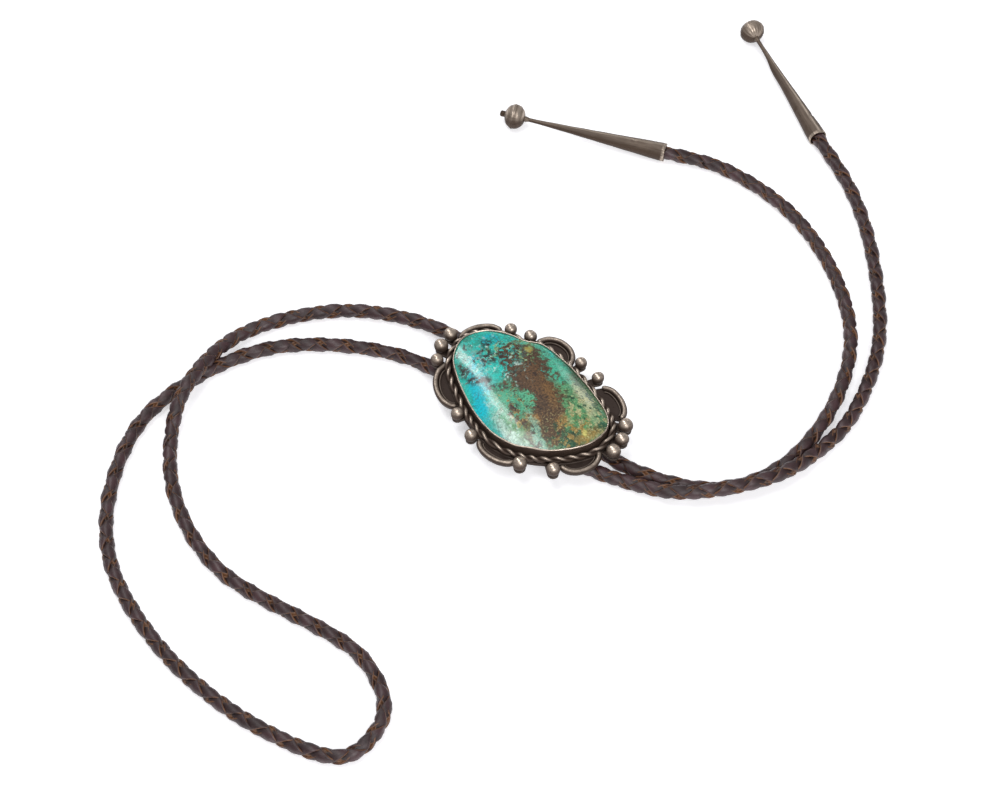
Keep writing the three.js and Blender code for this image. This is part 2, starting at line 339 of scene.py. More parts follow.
def curve_through(knots, per_span, closed=False):
    """Points of the centripetal Catmull-Rom curve: a cubic over each span between two knots,
    whose end slopes come from the knots beside it, with spans timed by the root of their length."""
    knots = np.asarray(knots, float)
    if closed:
        row = np.vstack([knots[-1:], knots, knots[:2]])
    else:
        row = np.vstack([2 * knots[0] - knots[1], knots, 2 * knots[-1] - knots[-2]])
    a, b, c, d = row[:-3], row[1:-2], row[2:-1], row[3:]
    before, across, after = (
        np.sqrt(np.linalg.norm(end - start, axis=1))[:, None]
        for start, end in ((a, b), (b, c), (c, d))
    )
    leave = ((b - a) / before - (c - a) / (before + across) + (c - b) / across) * across
    arrive = ((c - b) / across - (d - b) / (across + after) + (d - c) / after) * across
    t = (np.arange(per_span) / per_span)[None, :, None]
    b, c, leave, arrive = (value[:, None, :] for value in (b, c, leave, arrive))
    points = b + leave * t + (3 * (c - b) - 2 * leave - arrive) * t**2
    points = points + (2 * (b - c) + leave + arrive) * t**3
    points = points.reshape(-1, knots.shape[1])
    return points if closed else np.vstack([points, knots[-1:]])


def running(points):
    """Distance along a polyline at each of its points."""
    return np.concatenate([[0], np.cumsum(np.linalg.norm(np.diff(points, axis=0), axis=1))])


def evenly(points, count, closed=False):
    """Points at even distances along a polyline, by interpolation over its running length."""
    line = np.vstack([points, points[:1]]) if closed else points
    run = running(line)
    at = np.linspace(0, run[-1], count + int(closed))[:count]
    return np.stack([np.interp(at, run, column) for column in line.T], axis=1)


def directions(points, closed=False):
    """Unit tangents, from the difference of each point's two neighbours."""
    if closed:
        return unit(np.roll(points, -1, axis=0) - np.roll(points, 1, axis=0))
    return unit(np.gradient(points, axis=0))


def level_frame(line, closed=False):
    """Sideways and over at each point of a line that nowhere stands upright: the cross products
    of up and its direction, and of its direction and sideways."""
    along = directions(line, closed)
    side = unit(np.cross(UP, along))
    return side, np.cross(along, side)


def sweep(line, side, over, section):
    """A section carried along a line: line + side * x + over * y for each x, y of the section."""
    section = np.broadcast_to(section, (len(line), *np.shape(section)[-2:]))
    return line[:, None] + side[:, None] * section[..., :1] + over[:, None] * section[..., 1:]


def round_section(radius, sides):
    """Points on a circle, by cosine and sine."""
    angle = 2 * np.pi * np.arange(sides) / sides
    return np.stack([radius * np.cos(angle), radius * np.sin(angle)], axis=1)


def unevenness(points, wavelength, seed):
    """Smooth noise of about -1 to 1: a sum of sines along seeded directions in space."""
    waves = 14
    draws = np.random.default_rng(seed)
    points = np.asarray(points, float)
    heading = unit(draws.normal(size=(waves, points.shape[-1])))
    length = wavelength * draws.uniform(0.7, 1.5, (waves, 1))
    phase = draws.uniform(0, 2 * np.pi, waves)
    return np.sin(points @ (2 * np.pi * heading / length).T + phase).sum(axis=-1) / waves**0.5


def smooth(low, high, value):
    """Smooth step: 0 below low, 1 above high, and 3t^2 - 2t^3 between."""
    t = np.clip((value - low) / (high - low), 0, 1)
    return t * t * (3 - 2 * t)


class Surface:
    """Vertices, faces and values of a closed surface: a grid of rows by columns, whose columns
    run round and close, and whose rows either close too or end in a pole at each end. A value
    is given for every point, for each row or column, or once."""

    def __init__(self, grid, loop=False, **values):
        rows, columns = grid.shape[:2]
        index = np.arange(rows * columns).reshape(rows, columns)
        below = index if loop else index[:-1]
        above = np.roll(index, -1, axis=0) if loop else index[1:]
        right = np.roll(below, -1, axis=1)
        far = np.roll(above, -1, axis=1)
        self.points = grid.reshape(-1, 3)
        self.quads = np.stack([below, right, far, above], axis=-1).reshape(-1, 4)
        self.triangles = np.empty((0, 3), int)
        self.values = {
            key: np.broadcast_to(np.asarray(v, float), (rows, columns)).reshape(-1)
            for key, v in values.items()
        }
        if not loop:
            poles = np.stack([grid[0].mean(axis=0), grid[-1].mean(axis=0)])
            low, high = len(self.points), len(self.points) + 1
            self.points = np.vstack([self.points, poles])
            first, last = index[0], index[-1]
            bottom = np.stack([np.full(columns, low), np.roll(first, -1), first], axis=-1)
            top = np.stack([np.full(columns, high), last, np.roll(last, -1)], axis=-1)
            self.triangles = np.vstack([bottom, top])
            self.values = {
                key: np.concatenate([v, [v[:columns].mean(), v[-columns:].mean()]])
                for key, v in self.values.items()
            }


def is_inside_out(points, triangles):
    """The sign of the volume: the sum over the faces of each corner triple's product."""
    a, b, c = (points[triangles[:, k]] for k in range(3))
    return float((a * np.cross(b, c)).sum()) < 0


def add_object(name, data):
    """An object of the scene at the origin, of a mesh, a light or a camera."""
    made = bpy.data.objects.new(name, data)
    bpy.context.scene.collection.objects.link(made)
    return made


def piece(name, surfaces, material, node):
    """One mesh object of several closed surfaces, which stands for a node of the frame."""
    points, faces, sizes, offset = [], [], [], 0
    for surface in surfaces:
        quads, triangles = surface.quads, surface.triangles
        split = np.vstack([quads[:, [0, 1, 2]], quads[:, [0, 2, 3]], triangles])
        if is_inside_out(surface.points - surface.points.mean(axis=0), split):
            quads, triangles = quads[:, ::-1], triangles[:, ::-1]
        points.append(surface.points)
        faces += [(quads + offset).reshape(-1), (triangles + offset).reshape(-1)]
        sizes += [np.full(len(quads), 4), np.full(len(triangles), 3)]
        offset += len(surface.points)
    points, faces, sizes = np.vstack(points) * MM, np.concatenate(faces), np.concatenate(sizes)
    mesh = bpy.data.meshes.new(name)
    mesh.vertices.add(len(points))
    mesh.vertices.foreach_set("co", points.reshape(-1))
    mesh.loops.add(len(faces))
    mesh.loops.foreach_set("vertex_index", faces)
    mesh.polygons.add(len(sizes))
    mesh.polygons.foreach_set("loop_start", np.concatenate([[0], np.cumsum(sizes)[:-1]]))
    mesh.polygons.foreach_set("loop_total", sizes)
    for key in surfaces[0].values:
        layer = mesh.attributes.new(key, "FLOAT", "POINT")
        layer.data.foreach_set("value", np.concatenate([s.values[key] for s in surfaces]))
    mesh.update(calc_edges=True)
    mesh.polygons.foreach_set("use_smooth", np.ones(len(sizes), bool))
    mesh.materials.append(material)
    thing = add_object(name, mesh)
    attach(thing, "root")
    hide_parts(node)
    return thing


class Value:
    """A node's output socket that Python's operators and a few named curves work on."""

    def __init__(self, shader, socket):
        self.shader = shader
        self.socket = socket

    def math(self, operation, *others, first=None):
        operands = [self, *others] if first is None else [first, self]
        inputs = {i: operand for i, operand in enumerate(operands)}
        return self.shader.node("Math", {"operation": operation}, inputs)

    def __add__(self, other):
        return self.math("ADD", other)

    __radd__ = __add__

    def __mul__(self, other):
        return self.math("MULTIPLY", other)

    __rmul__ = __mul__

    def __sub__(self, other):
        return self.math("SUBTRACT", other)

    def __rsub__(self, other):
        return self.math("SUBTRACT", first=other)

    def size(self):
        return self.math("ABSOLUTE")

    def least(self, other):
        return self.math("MINIMUM", other)

    def step(self, low, high, top=1.0):
        """Smooth step from 0 at low to the top at high; low may be the larger one."""
        settings = {"interpolation_type": "SMOOTHSTEP"}
        return self.shader.node("MapRange", settings, {0: self, 1: low, 2: high, 4: top})


class Shader:
    """A material whose nodes are added one by one."""

    def __init__(self, name):
        self.material = bpy.data.materials.new(name)
        self.material.use_nodes = True
        self.tree = self.material.node_tree
        self.tree.nodes.clear()

    def node(self, kind, settings=None, inputs=None, output=0):
        """Adds a node by its type, with its settings first and then its sockets' values."""
        made = self.tree.nodes.new("ShaderNode" + kind)
        for key, value in (settings or {}).items():
            setattr(made, key, value)
        for key, value in (inputs or {}).items():
            if isinstance(value, Value):
                self.tree.links.new(value.socket, made.inputs[key])
            else:
                made.inputs[key].default_value = value
        return None if output is None else Value(self, made.outputs[output])

    def place(self):
        """Object coordinates, in metres."""
        return self.node("TexCoord", output="Object")

    def attribute(self, name):
        return self.node("Attribute", {"attribute_name": name}, output="Fac")

    def noise(self, vector, wavelength, detail=3.0, rough=0.55, output="Fac"):
        """Noise from 0 to 1 over a vector, with a wavelength in the vector's own unit."""
        inputs = {"Vector": vector, "Scale": 1 / wavelength, "Detail": detail, "Roughness": rough}
        return self.node("TexNoise", None, inputs, output)

    def mapped(self, vector, place=(0, 0, 0), turn=0.0, scale=(1, 1, 1)):
        """A vector in the axes of a place: moved, turned about Z and divided by a scale."""
        inputs = {"Vector": vector, "Location": place, "Rotation": (0, 0, turn), "Scale": scale}
        return self.node("Mapping", {"vector_type": "TEXTURE"}, inputs)

    def stretch(self, vector, scale):
        return self.node("Mapping", {"vector_type": "POINT"}, {"Vector": vector, "Scale": scale})

    def length(self, vector):
        return self.node("VectorMath", {"operation": "LENGTH"}, {0: vector}, output="Value")

    def mix(self, factor, first, second, blend="MIX"):
        """One colour over another by a factor."""
        first, second = (c if isinstance(c, Value) else (*c, 1) for c in (first, second))
        settings = {"data_type": "RGBA", "blend_type": blend}
        return self.node("Mix", settings, {0: factor, 6: first, 7: second}, output=2)

    def warp(self, vector, wavelength, amount, detail=2.0):
        """A vector moved about by coloured noise of a wavelength, by an amount each way."""
        colour = self.noise(vector, wavelength, detail, output="Color")
        centred = self.node(
            "VectorMath", {"operation": "SUBTRACT"}, {0: colour, 1: (0.5, 0.5, 0.5)}
        )
        scaled = self.node("VectorMath", {"operation": "SCALE"}, {0: centred, "Scale": amount})
        return self.node("VectorMath", {"operation": "ADD"}, {0: vector, 1: scaled})

    def bump(self, height, distance, strength):
        inputs = {"Height": height, "Distance": distance, "Strength": strength}
        return self.node("Bump", None, inputs, output="Normal")

    def finish(self, constants=None, **links):
        """The surface shader: constants on its own sockets, and links by socket name."""
        inputs = dict(constants or {})
        inputs.update({key.replace("_", " "): value for key, value in links.items()})
        surface = self.node("BsdfPrincipled", None, inputs)
        self.node("OutputMaterial", None, {"Surface": surface}, output=None)
        return self.material


# Green copper stain on the cord where it has lain against metal: x, y, z of each spot.
VERDIGRIS = [
    (89.5, -20.5, 3.0),
    (82.0, -24.5, 2.5),
    (79.5, -26.5, 2.5),
]


def leather_material(cord):
    """Dark grain side with lace tops lighter from rubbing and a painted sheen, raw light edges,
    painted shade between the laces and green specks.
    """
    s = Shader("laces")
    place = s.place()
    across, run, cover, raw = (s.attribute(key) for key in ("across", "run", "cover", "raw"))
    lay = s.node("CombineXYZ", None, {0: across, 1: run * 0.16, 2: s.attribute("lace")})
    streaks = s.noise(lay, 0.35, detail=4.0)
    blotches = s.noise(place, 5 * MM)
    # Lace tops lighter where they pass over: partly rubbed leather, partly a painted sheen, with
    # painted highlight streaks along each lace.
    rub_and_sheen = cover.step(-0.2, 0.9) * blotches.step(0.3, 0.72) * 0.8 + streaks.step(0.45, 0.8) * 0.25
    colour = s.mix(rub_and_sheen, tuple(cord.leather), tuple(cord.sheen))
    # Painted shade: darker where each lace passes under the others, in the gaps between them.
    under_shade = cover.step(-0.15, -0.95)
    colour = s.mix(under_shade * 0.7, colour, tuple(cord.gap_shade))
    frayed = s.noise(place, 2.4 * MM, detail=4.0)
    edge = raw.step(0.3, 0.9) * frayed.step(0.3, 0.58)
    colour = s.mix(edge * 0.85, colour, tuple(cord.edge))
    for x, y, z in VERDIGRIS:
        spot = s.mapped(place, (x * MM, y * MM, z * MM), 0, (1.1 * MM, 0.8 * MM, 2 * MM))
        speck = s.length(spot).step(1.0, 0.4) * frayed.step(0.45, 0.6)
        colour = s.mix(speck * 0.8, colour, tint(52, 128, 98))
    pores = s.noise(lay, 0.09, detail=2.0)
    relief = streaks * 0.7 + pores * 0.3
    return s.finish(
        {"Specular IOR Level": 0.6},
        Base_Color=colour,
        Roughness=0.52 - rub_and_sheen * 0.14,
        Normal=s.bump(relief, 0.12 * MM, 0.55),
    )


def silver_material(name, slide, silver, floor, top, drawn=False):
    """Silver that is dark low down and in pits, brown over most of it, and bright where rubbed and
    where a highlight is painted on its tops. Low down the dark is oxide on the slide, and painted
    shade on the lower sides of the tips and clip. Drawn silver has its grain along the piece, and
    its wear and painted highlight are softer."""
    s = Shader(name)
    place = s.place()
    height = s.node("SeparateXYZ", None, {0: place}, output="Z")
    wear_and_highlight = s.attribute("wear_and_highlight")
    if drawn:
        wear_and_highlight = wear_and_highlight * 0.5
        at, cosine, sine = (s.attribute(key) for key in ("at", "cosine", "sine"))
        grain = s.node("CombineXYZ", None, {0: at * 0.12, 1: cosine * 2.5, 2: sine * 2.5})
    else:
        squared = wear_and_highlight * wear_and_highlight
        wear_and_highlight = squared * squared
        grain = s.mapped(place, scale=(MM, MM, MM))
    tarnish = s.noise(grain, 2.6, detail=4.0)
    scuffs = s.noise(s.stretch(grain, (1, 1.6, 1)), 0.6, detail=3.0)
    # Darker towards the table: oxide in the slide's hollows, and painted shade on the lower sides
    # of the tips and clip.
    lifted = height.step(floor, top)
    open_part = 0.3 + lifted * (0.2 + tarnish * 0.8)
    colour = s.mix(open_part.least(1.0), tuple(slide.dark), tuple(silver))
    # Bright where rubbed, plus a painted highlight on the tops of the wires, balls, lip and tips.
    polish_and_highlight = (wear_and_highlight * (0.35 + tarnish * 1.5) * (0.5 + scuffs.step(0.3, 0.6) * 0.5)).least(1.0)
    colour = s.mix(polish_and_highlight, colour, tuple(slide.bright))
    pits = s.noise(grain, 0.6, detail=2.0).step(0.36, 0.24)
    colour = s.mix(pits * 0.6, colour, tuple(slide.dark))
    relief = scuffs * 0.5 + s.noise(grain, 1.6) - pits * 0.5
    return s.finish(
        {"Specular IOR Level": 0.35},
        Base_Color=colour,
        Metallic=0.35 + polish_and_highlight * 0.6,
        Roughness=0.55 - polish_and_highlight * 0.25 + pits * 0.15,
        Normal=s.bump(relief, (0.04 if drawn else 0.07) * MM, 0.6),
    )


# Patches of colour in the stone, in the slide's own frame, in the order they are laid on. The three
# pale ones at (-16.5, -2.5), (-4.5, -8.4) and (8.6, -13.4) are a painted reflection of the lights.
# edge is how soft the patch's border is, and cover how much of it shows.
PATCHES = [
    # p, q, long, wide, turn, edge, cover, colour
    (-23.0, 0.5, 5.5, 9.0, 20, 0.5, 0.85, (48, 166, 144)),
    (-17.5, 6.5, 5.0, 5.5, 0, 0.4, 0.9, (52, 200, 180)),
    (-20.0, 7.0, 2.6, 2.4, 0, 0.3, 0.9, (0, 200, 214)),
    (-12.8, 2.5, 3.2, 7.5, -20, 0.4, 0.85, (66, 224, 208)),
    (-11.5, -8.2, 10.0, 1.6, -40, 0.4, 0.9, (0, 204, 220)),
    (-5.0, -12.2, 7.5, 1.8, -34, 0.35, 1.0, (0, 208, 228)),
    (5.0, -15.6, 7.0, 1.6, -6, 0.5, 0.8, (60, 196, 190)),
    # The next three rows are a painted reflection of the lights on the dome.
    (-16.5, -2.5, 5.0, 3.2, -20, 0.6, 0.6, (170, 216, 204)),
    (-4.5, -8.4, 10.0, 2.2, -34, 0.6, 0.4, (160, 226, 214)),
    (8.6, -13.4, 8.0, 1.8, -8, 0.4, 0.7, (190, 230, 216)),
    (-13.5, 8.0, 3.4, 6.2, -20, 0.25, 0.95, (160, 212, 160)),
    (-7.5, 12.0, 6.5, 4.5, -15, 0.3, 0.9, (132, 170, 106)),
    (14.5, 8.5, 10.0, 7.5, -20, 0.6, 0.8, (102, 174, 118)),
    (18.5, 3.5, 7.0, 6.0, 0, 0.6, 0.8, (98, 162, 106)),
    (15.5, 10.8, 8.0, 1.9, -22, 0.5, 0.8, (206, 208, 166)),
    (2.5, 17.6, 10.0, 1.9, -9, 0.35, 0.9, (48, 86, 66)),
    (13.5, 13.6, 8.5, 1.6, -16, 0.4, 0.85, (58, 96, 70)),
    (0.5, 12.6, 7.5, 3.6, -10, 0.3, 0.95, (74, 196, 160)),
    (-7.0, 15.6, 3.8, 1.5, -8, 0.3, 0.9, (88, 202, 172)),
    (23.0, -1.5, 3.6, 3.4, 30, 0.5, 0.85, (44, 88, 66)),
    (25.3, 7.0, 1.8, 3.2, 0, 0.5, 0.85, (44, 86, 64)),
    (24.8, 2.6, 4.2, 1.9, 75, 0.5, 0.75, (184, 150, 84)),
    (6.5, -8.0, 8.0, 4.2, -15, 0.4, 0.75, (122, 182, 122)),
    (1.5, -4.4, 9.0, 4.2, -25, 0.25, 0.92, (100, 80, 50)),
    (-3.4, -5.6, 3.6, 2.8, -20, 0.2, 0.9, (70, 170, 130)),
    (-7.3, 7.6, 8.4, 6.6, -12, 0.16, 1.0, (88, 64, 46)),
    (0.8, 2.9, 9.5, 6.2, -8, 0.16, 1.0, (94, 68, 48)),
    (8.6, 1.1, 8.4, 5.2, -18, 0.16, 1.0, (94, 70, 50)),
    (14.2, -3.8, 6.4, 4.8, -30, 0.18, 1.0, (98, 72, 48)),
    (13.0, -7.4, 5.2, 2.8, -20, 0.3, 0.75, (112, 84, 54)),
    (1.0, 5.8, 7.5, 3.4, -8, 0.7, 0.4, (128, 90, 48)),
    (7.0, 4.8, 6.0, 1.7, -30, 0.5, 0.5, (150, 110, 60)),
    (9.8, -5.6, 2.2, 1.6, 0, 0.4, 0.85, (186, 138, 74)),
    (16.4, 0.6, 1.5, 2.2, 0, 0.4, 0.8, (180, 132, 70)),
    (4.0, -2.6, 3.9, 3.0, -30, 0.14, 1.0, (96, 194, 150)),
    (-0.6, -5.2, 3.0, 2.0, -20, 0.2, 0.9, (100, 190, 150)),
    (16.0, -8.6, 9.0, 1.3, -24, 0.4, 0.8, (158, 222, 196)),
    (23.6, 2.3, 1.3, 0.9, 0, 0.3, 1.0, (228, 218, 128)),
    (-9.6, 12.4, 1.6, 1.4, 0, 0.3, 0.9, (196, 176, 84)),
]

# Regions where crumbs of another colour show through: share is the noise above which they do. The
# pale crumbs at (-14, 0) and (9, -12.8) are a painted sheen and reflection of the lights.
ISLANDS = [
    # p, q, long, wide, turn, share, colour
    (1.5, -5.4, 8.0, 3.8, -25, 0.48, (84, 190, 150)),
    (3.5, -6.8, 8.0, 3.6, -25, 0.56, (196, 166, 92)),
    (-10.5, 10.2, 4.5, 3.6, -15, 0.55, (150, 190, 118)),
    (-12.8, 8.5, 3.4, 6.0, -15, 0.56, (66, 46, 36)),
    (8.5, -1.5, 9.0, 6.0, -25, 0.60, (136, 98, 58)),
    (2.0, 2.5, 15.0, 8.0, -20, 0.60, (56, 38, 30)),
    (19.5, 7.5, 8.0, 5.5, -25, 0.54, (204, 202, 150)),
    (16.0, 10.0, 10.0, 5.0, -20, 0.58, (40, 88, 62)),
    (20.0, -3.5, 7.0, 5.0, -20, 0.55, (50, 92, 66)),
    (22.0, 0.5, 6.0, 6.0, 0, 0.54, (180, 148, 82)),
    (14.0, -9.6, 6.0, 2.6, -25, 0.54, (70, 48, 36)),
    (4.5, 9.6, 7.0, 2.4, -25, 0.52, (96, 70, 46)),
    (-17.0, 2.0, 10.0, 10.0, 0, 0.51, (30, 218, 206)),
    (-10.0, -8.0, 12.0, 2.8, -38, 0.50, (0, 208, 222)),
    # Painted sheen: pale crumbs where the lights reflect on the dome.
    (-14.0, 0.0, 11.0, 9.0, 0, 0.59, (206, 240, 230)),
    (-19.5, -2.5, 6.0, 6.0, 0, 0.59, (50, 30, 30)),
    (-15.5, 6.5, 6.0, 5.0, 0, 0.62, (50, 30, 30)),
    # Painted reflection of the lights along the lower edge.
    (9.0, -12.8, 13.0, 2.2, -14, 0.52, (200, 236, 220)),
    (0.0, 12.0, 8.0, 4.0, -10, 0.61, (34, 118, 92)),
]

# Dark brown flecks of matrix in the blue half.
FLECKS = [
    # p, q, long, wide, turn
    (-19.6, 4.6, 1.0, 1.6, 10),
    (-15.2, 2.0, 2.4, 1.5, 40),
    (-16.8, -6.8, 1.5, 1.0, -30),
    (-13.0, -7.6, 1.2, 0.9, 0),
    (-10.8, -6.0, 2.0, 0.9, 30),
    (-5.6, -4.8, 2.2, 0.7, 42),
    (3.4, -6.4, 1.3, 1.0, 10),
]


def turquoise_material(stone):
    """Blue-green stone: patches laid over a base, with ragged borders, flecks and fine veins; a few
    pale patches and crumbs are a painted reflection of the lights.
    """
    s = Shader("cabochon_skin")
    flat = s.mapped(s.place(), (0, 0, 0), SLIDE_TURN, (MM, MM, 1))
    ragged = s.warp(s.warp(flat, 5.0, 2.4, 3.0), 1.4, 1.0, 4.0)
    p = s.node("SeparateXYZ", None, {0: ragged}, output="X")
    tears = s.noise(flat, 1.9, detail=6.0, rough=0.7)
    mottle = s.noise(s.stretch(flat, (1.0, 0.8, 1.0)), 2.6, detail=6.0, rough=0.7)
    grit = s.noise(flat, 0.6, detail=4.0, rough=0.65)

    # Teal turns to green along the stone, with paler and darker mottling.
    colour = s.mix(p.step(-2.0, 8.0), tuple(stone.teal), tuple(stone.green))
    colour = s.mix(mottle.step(0.5, 0.66) * 0.5, colour, tint(118, 218, 198))
    colour = s.mix(mottle.step(0.46, 0.34) * 0.6, colour, tint(6, 128, 124))

    torn = (tears - 0.5) * 2.2

    def inside(row_p, row_q, long, wide, turn, edge, cover=1.0):
        """The cover inside a turned ellipse and 0 outside it, over a ragged edge."""
        local = s.mapped(ragged, (row_p, row_q, 0), math.radians(turn), (long, wide, 1e3))
        return (s.length(local) + torn).step(1 + edge, 1 - edge, cover)

    # Patches, with tan and dark grit in the brown matrix.
    for row_p, row_q, long, wide, turn, edge, cover, rgb in PATCHES:
        colour = s.mix(inside(row_p, row_q, long, wide, turn, edge, cover), colour, tint(*rgb))
    brown = inside(3.0, 3.4, 17.0, 7.4, -22, 0.5)
    colour = s.mix(brown * grit.step(0.56, 0.66) * 0.4, colour, tint(146, 104, 58))
    colour = s.mix(brown * grit.step(0.46, 0.38) * 0.7, colour, tint(46, 30, 24))

    # Crumbs, from four fields of noise that the regions share in turn, and dark flecks.
    moved = [s.mapped(ragged, (k * 9.1, k * 5.3, k * 3.7)) for k in range(4)]
    fields = [s.noise(vector, 1.9, detail=5.0, rough=0.65) for vector in moved]
    for number, (row_p, row_q, long, wide, turn, share, rgb) in enumerate(ISLANDS):
        crumbs = fields[number % len(fields)].step(share - 0.02, share + 0.02)
        mask = inside(row_p, row_q, long, wide, turn, 0.4, 0.9) * crumbs
        colour = s.mix(mask, colour, tint(*rgb))
    fleck = s.noise(ragged, 1.3, detail=5.0, rough=0.7).step(0.43, 0.5, 0.95)
    for row_p, row_q, long, wide, turn in FLECKS:
        mask = inside(row_p, row_q, long * 1.5, wide * 1.7, turn, 0.6)
        colour = s.mix(mask * fleck, colour, tint(46, 26, 26))

    # Veins where a noise crosses its middle value, specks, and pale grit in the green end.
    veins = s.noise(ragged, 3.0, detail=6.0, rough=0.7)
    net = (veins - 0.5).size().step(0.022, 0.004) * s.noise(flat, 6.0).step(0.46, 0.58)
    colour = s.mix(net * 0.75, colour, tint(62, 42, 32))
    specks = s.noise(flat, 0.9, detail=3.0, rough=0.6).step(0.36, 0.3)
    colour = s.mix(specks * 0.8, colour, tint(60, 38, 32))
    light = p.step(6.0, 16.0) * grit.step(0.56, 0.66) * 0.6
    colour = s.mix(light, colour, tint(198, 200, 142))
    colour = s.mix(grit.step(0.58, 0.42) * 0.7, colour, tint(190, 198, 194), "MULTIPLY")
    dull = (brown * 0.2 + specks * 0.2).least(0.4)
    return s.finish(
        {"Specular IOR Level": 0.5, "Coat Roughness": 0.07},
        Base_Color=colour,
        Roughness=0.25 + dull,
        Coat_Weight=0.6 - dull,
        Normal=s.bump(mottle, 0.05 * MM, 0.35),
    )


def table_material(stage):
    s = Shader("table")
    place = s.place()
    grain = s.noise(place, 0.25)
    colour = s.mix(grain * 0.4, tuple(stage.table), tint(246, 246, 250))
    constants = {"Specular IOR Level": 0.0, "Roughness": 0.9, "Emission Strength": stage.glow}
    return s.finish(constants, Base_Color=colour, Emission_Color=colour)


def turned(points, angle):
    """Points turned about Z: x cos - y sin, x sin + y cos."""
    x, y, z = np.moveaxis(np.asarray(points, float), -1, 0)
    cosine, sine = math.cos(angle), math.sin(angle)
    return np.stack([x * cosine - y * sine, x * sine + y * cosine, z], axis=-1)


def slide_to_table(points):
    """Points of the slide's frame in the tie's own frame."""
    return turned(points, SLIDE_TURN)


def lip_outline(count):
    """The bezel's outline at even distances, counter-clockwise, in the slide's frame."""
    return evenly(curve_through(LIP, 24, closed=True), count, closed=True)[::-1]


def quarter(vectors):
    """Flat vectors turned a quarter counter-clockwise: -y, x."""
    return np.stack([-vectors[..., 1], vectors[..., 0]], axis=-1)


def outward(outline):
    """The outline's normals: its tangents turned a quarter clockwise."""
    return -quarter(directions(outline, closed=True))


def at_height(points, height):
    """Flat points with a height each."""
    return np.concatenate([points, np.broadcast_to(height, points.shape[:-1])[..., None]], axis=-1)


def slab(outline, low, high, bevel, dish, wear_and_highlight):
    """A flat solid from an outline: four rings round its edge, drawn in at the top and bottom,
    then inner rings towards the middle, which sinks by the dish on top."""
    normal = outward(outline)
    middle = outline.mean(axis=0)
    inner = middle + (outline - middle) * 0.4
    rings = [
        at_height(inner, low),
        at_height(outline - normal * bevel, low),
        at_height(outline, low + bevel),
        at_height(outline, high - bevel),
        at_height(outline - normal * bevel, high),
        at_height(outline - normal * bevel * 3, high - dish * 0.6),
        at_height(inner, high - dish),
    ]
    edge_worn = np.array([0, 0, 0.4, 1, 1, 0.3, 0]) * wear_and_highlight
    return Surface(slide_to_table(np.stack(rings)), wear_and_highlight=edge_worn[:, None])


def tube(line, radius, sides, seed, loop=False, wear_and_highlight=1.0):
    """A wire along a line of points: a circle swept over a level frame, uneven by a few
    hundredths, and rounded at its ends by a radius that falls as a quarter circle."""
    side, over = level_frame(line, loop)
    scale = np.ones(len(line))
    if not loop:
        run = running(line)
        left = np.minimum(run, run[-1] - run) / radius
        scale = np.sqrt(np.clip(1 - (1 - np.clip(left, 0, 1)) ** 2, 0.0004, 1))
    section = round_section(radius, sides)
    grid = sweep(line, side, over, section[None] * scale[:, None, None])
    grid += over[:, None] * 0.06 * radius * unevenness(grid, 3.0, seed)[..., None]
    # The upper side of each wire is lighter: wear, with a painted highlight.
    upward = smooth(0.35, 1.0, np.sin(2 * np.pi * np.arange(sides) / sides))
    return Surface(slide_to_table(grid), loop, wear_and_highlight=wear_and_highlight * upward)


def arch(middle, along, long, bulge, count):
    """Half an ellipse: middle + along * long * cos(angle) + a quarter turn of along * bulge *
    sin(angle), with the angle from 180 degrees down to 0."""
    angle = np.pi * (1 - np.linspace(0, 1, count))[:, None]
    return middle + along * long * np.cos(angle) + quarter(along) * bulge * np.sin(angle)


def petal_edge(row, inset, count):
    """Points of a scallop's edge: an arch over its chord, whose two half lengths lose the
    inset."""
    start, end = np.array(row[:2]), np.array(row[2:4])
    half = (end - start) / 2
    length = np.linalg.norm(half)
    return arch((start + end) / 2, half / length, length - inset, row[4] - inset, count)


def leaf(edge, root, count):
    """The outline of a flat leaf or tongue, counter-clockwise: its edge and the two points of
    its root."""
    return evenly(np.vstack([edge, root]), count, closed=True)[::-1]


def make_plate(slide, silver):
    """The back plate, a margin wider than the bezel, and a round-ended tongue under each ball."""
    outline = lip_outline(160)
    margin = slide.plate_margin / MM
    parts = [slab(outline + outward(outline) * margin, PLATE_LOW, PLATE_TOP, 0.2, 0.0, 0.4)]
    for p, q, diameter in BALLS:
        middle = np.array([p, q])
        side = quarter(unit(middle))
        reach = diameter / 2 * SEAT_SHARE
        root = middle * ROOT_SHARE + np.stack([-side, side])
        tongue = leaf(arch(middle, -side, reach, reach, 13), root, 36)
        parts.append(slab(tongue, PLATE_LOW + 0.1, PLATE_TOP - 0.05, 0.15, 0.0, 0.5))
    return piece("back_plate", parts, silver, "setting")


def make_scallops(slide, silver):
    """Each scallop: a dished leaf of sheet, a heavy rim wire and a thin ridge inside it."""
    radius = slide.rim_wire / MM
    parts = []
    for number, row in enumerate(PETALS):
        edge = petal_edge(row, 0.25, 40)
        sheet = leaf(edge, edge[[-1, 0]] * ROOT_SHARE, 96)
        parts.append(slab(sheet, PLATE_LOW + 0.15, PLATE_TOP - 0.1, 0.15, 0.25, 0.15))
        rim = at_height(petal_edge(row, radius, 64), PLATE_TOP + 0.3)
        parts.append(tube(rim, radius, 14, number, wear_and_highlight=0.88))
        ridge = at_height(petal_edge(row, radius * 2 + 0.42, 48), PLATE_TOP + 0.02)
        parts.append(tube(ridge, 0.3, 8, number + 20, wear_and_highlight=0.7))
    return piece("scallops", parts, silver, "setting")


